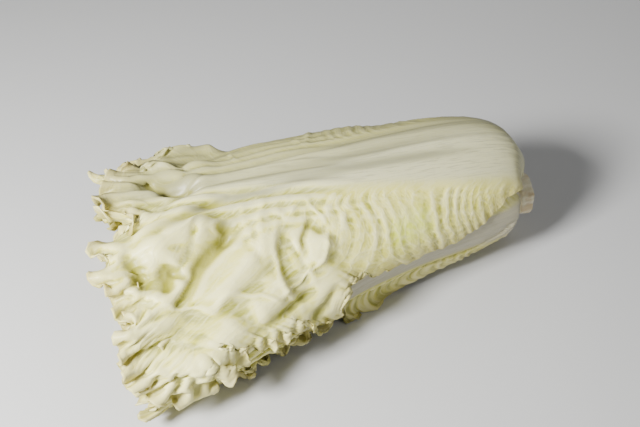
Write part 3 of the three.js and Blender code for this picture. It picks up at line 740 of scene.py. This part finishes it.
# Each leaf's name, node, slot, start, midrib's bearing, tip, tuck, mesh, and the half width in
# degrees with which its foot clasps the stem.
UNDER_LEAVES = [
    ("back_leaf", "leaf_3_back", "leaf_outer", 0.01, 214, 0.985, 0.0, (150, 165), 82),
    ("top_inner_leaf", "leaf_4_top", "leaf_inner", 0.03, 77, 0.965, 0.08, (122, 130), 60),
    ("under_leaf", "leaf_5_under", "leaf_inner", 0.02, -60, 0.975, 0.1, (122, 130), 70),
    ("back_inner_leaf", "leaf_6_back", "leaf_inner", 0.03, 162, 0.955, 0.16, (122, 130), 60),
    ("front_inner_leaf", "leaf_7_front", "leaf_inner", 0.11, 24, 0.945, 0.22, (122, 130), 40),
    ("last_inner_leaf", "leaf_8_under", "leaf_inner", 0.13, 247, 0.94, 0.26, (122, 130), 40),
]
for number, (name, node, slot, start, midrib, tip, tuck, size, clasp) in enumerate(UNDER_LEAVES):
    half = curve([(0, clasp), (0.12, max(clasp, 55)), (0.35, max(clasp, 74)), (0.65, 92),
                  (0.88, 96), (1, 88)])
    points, masks, places = lay_leaf({
        "start": start, "tip": tip, "tuck": tuck, "seed": 40 + 7 * number,
        "midrib": curve([(0, midrib), (1, midrib)]), "mesh": size, "lower": half, "upper": half})
    leaf = leaf_mesh(name, points, masks, places)
    leaf.data.materials.append(outer_finish if slot == "leaf_outer" else inner_finish)
    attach(leaf, "root")
    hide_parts(node)


# The heart: a bud of young leaves, wrapped tightly, with the frilled tips of seven leaves that
# stand out of it at the open end. The bud is a ball drawn out under everything laid so far.
def ball(name, segments, rings, shape):
    """A ball whose turn (degrees) and way from pole to pole (0 to 1) are mapped by a function."""
    bpy.ops.object.select_all(action="DESELECT")
    bpy.ops.mesh.primitive_uv_sphere_add(segments=segments, ring_count=rings, radius=1)
    body = bpy.context.object
    body.name = body.data.name = name
    spots = np.zeros(3 * len(body.data.vertices), np.float32)
    body.data.vertices.foreach_get("co", spots)
    x, y, z = spots.reshape(-1, 3).T.astype(float)
    points = shape(np.degrees(np.arctan2(y, x)), np.arccos(np.clip(z, -1, 1)) / math.pi)
    body.data.vertices.foreach_set("co", ((points + SHIFT) / 1000).reshape(-1).astype(np.float32))
    body.data.polygons.foreach_set("use_smooth", np.ones(len(body.data.polygons), bool))
    body.data.flip_normals()
    body.data.update()
    return body


laid_over = eased_chart()


def bud_point(turn, way):
    """The bud's surface: round at both ends, and lightly wrinkled."""
    station = 0.24 + 0.58 * way
    fullness = np.maximum(1 - (2 * way - 1) ** 4, 0) ** 0.5
    depth = chart_value(laid_over, station, turn) + 1
    skin, axis = place(station, turn, depth), axis_point(station)
    wrinkle = 1 + 0.05 * swell(station * 40, np.abs(turn) / 14, 77)
    return axis + (skin - axis) * (fullness * wrinkle)[..., None]


bud = ball("heart_leaves", 96, 64, bud_point)
spots = np.zeros(3 * len(bud.data.vertices), np.float32)
bud.data.vertices.foreach_get("co", spots)
even = {"rib": 0.3, "vein": 0.0, "margin": 40.0, "shaded_hollow": 0.3, "shade": 0.2, "groove_shade": 0.0,
        "top_back_shade": 0.0}
even = {mask: np.full(len(bud.data.vertices), value) for mask, value in even.items()}
keep_masks(bud.data, even, {"leaf_place": spots * 1000, "vein_place": spots * 90})
heart_pieces = [bud]
LEAF_TURN = 137.5
half = curve([(0, 60), (1, 74)])
for k in range(7):
    bearing = 110 - LEAF_TURN * k
    points, masks, places = lay_leaf({
        "start": 0.5, "tip": 0.935 - 0.008 * k, "tuck": 0.36 + 0.07 * k, "seed": 90 + 5 * k,
        "midrib": curve([(0, bearing), (1, bearing)]), "lower": half, "upper": half,
        "mesh": (72, 80), "grid": (60, 70)})
    heart_pieces.append(leaf_mesh("heart_leaf", points, masks, places))
for piece in heart_pieces:
    piece.select_set(True)
    piece.data.materials.append(inner_finish)
bpy.context.view_layer.objects.active = bud
bpy.ops.object.join()
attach(bud, "root")
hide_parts("heart")


# The stem: a stub of white flesh, cut square, that all the leaves grow from. It is a ball drawn
# out to a short thick rod; its face has a ring of bundles round the pith and a browned rim.
# The rod's outline: the way from pole to pole, its place along the head, and its radius there.
STUB_MIDDLE_Z = 38
STEM_PROFILE = [(0, 140, 0), (0.1, 141, 20), (0.25, 150, 23), (0.34, 156, 20), (0.4, 159, 17.5),
                (0.46, 161.5, 16), (0.5, 163, 13.6), (0.54, 164.5, 16), (0.62, 168, 17),
                (0.68, 173, 17.4), (0.72, 174.6, 16.8), (0.76, 175, 15.5), (1, 174.6, 0)]
stem_x = curve([(way, x) for way, x, _ in STEM_PROFILE])
stem_radius = curve([(way, radius) for way, _, radius in STEM_PROFILE])


def stem_point(turn, way):
    angle = np.radians(turn)
    radius = np.maximum(stem_radius(way), 0)
    ragged = (1 + 0.03 * np.cos(3 * angle + 1) + 0.02 * np.cos(7 * angle)
              + 0.012 * np.cos(23 * angle + 2))
    radius = radius * ragged
    x = stem_x(way) - 0.5 * np.abs(np.cos(3 * angle)) * ease(0.6, 0.74, way) * ease(1.0, 0.8, way)
    return np.stack([x, STUB_MIDDLE_Y + radius * np.cos(angle),
                     STUB_MIDDLE_Z + radius * np.sin(angle)], -1)


stem = ball("stem_stub", 128, 72, stem_point)
flesh = Finish("stem_flesh", Subsurface_Weight=0.3, Subsurface_Scale=0.004,
               Subsurface_Radius=(1.0, 0.8, 0.4))
spot = flesh.node("TexCoord", {}, output="Object")
face_middle = tuple((SHIFT + [STUB_END_X, STUB_MIDDLE_Y, STUB_MIDDLE_Z]) / 1000)
flat = flesh.node("VectorMath", {0: spot, 1: face_middle}, operation="SUBTRACT")
flat = flesh.node("VectorMath", {0: flat, 1: (0.0, 1000.0, 1000.0)}, operation="MULTIPLY")
away = flesh.node("VectorMath", {0: flat}, output="Value", operation="LENGTH")
speckle = flesh.node("TexNoise", {"Vector": spot, "Scale": 900.0, "Detail": 5.0})
patchy = flesh.node("TexNoise", {"Vector": spot, "Scale": 120.0, "Detail": 4.0})
ring = away.between(6, 9) * away.between(10, 13, 1.0, 0.0)
colour = flesh.blend(ring * 0.5, tone(226, 219, 190), tone(206, 200, 150))
browned = away.between(13, 17.5, 0.0, 0.8) * patchy.between(0.42, 0.62)
colour = flesh.blend(browned, colour, tone(196, 172, 126))
colour = flesh.blend(speckle.between(0.5, 0.75, 0.0, 0.3), colour, tone(196, 180, 140))
inwards = flesh.node("SeparateXYZ", {"Vector": flat}, output="X")
scar = inwards.between(-0.0145, -0.0125) * inwards.between(-0.0115, -0.0095, 1.0, 0.0)
colour = flesh.blend(scar * 0.8, colour, tone(150, 116, 66))
bump = flesh.node("Bump", {"Height": speckle, "Strength": 0.5, "Distance": 0.0006}, output="Normal")
flesh.feed(Base_Color=colour, Roughness=patchy * 0.2 + 0.45, Normal=bump)
stem.data.materials.append(flesh.material)
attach(stem, "root")
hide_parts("stem")


# The table: a plain pale sheet, which isn't part of the cabbage, and the soft studio lights.
bpy.ops.object.select_all(action="DESELECT")
bpy.ops.mesh.primitive_plane_add(size=8, location=(0, 0, -0.0005))
table = bpy.context.object
table.name = "table"
table_finish = Finish("pale_table", Roughness=0.6)
table_finish.surface.inputs["Base Color"].default_value = (0.58, 0.58, 0.57, 1)
table.data.materials.append(table_finish.material)


def lamp(name, place_at, size, power):
    """A square lamp that faces the cabbage."""
    bpy.ops.object.light_add(type="AREA", location=place_at)
    light = bpy.context.object
    light.name = name
    light.data.size, light.data.energy = size, power
    light.rotation_euler = Vector(place_at).to_track_quat("Z", "Y").to_euler()


lamp("key", (-0.68, -0.29, 0.61), 0.24, 26)
lamp("fill", (0.5, -0.9, 0.8), 1.0, 3)
lamp("back", (0.6, 0.9, 0.9), 0.9, 3)
world = bpy.data.worlds.new("studio")
bpy.context.scene.world = world
world.use_nodes = True
world.node_tree.nodes["Background"].inputs[0].default_value = (0.9, 0.93, 1.0, 1)
world.node_tree.nodes["Background"].inputs[1].default_value = 0.07
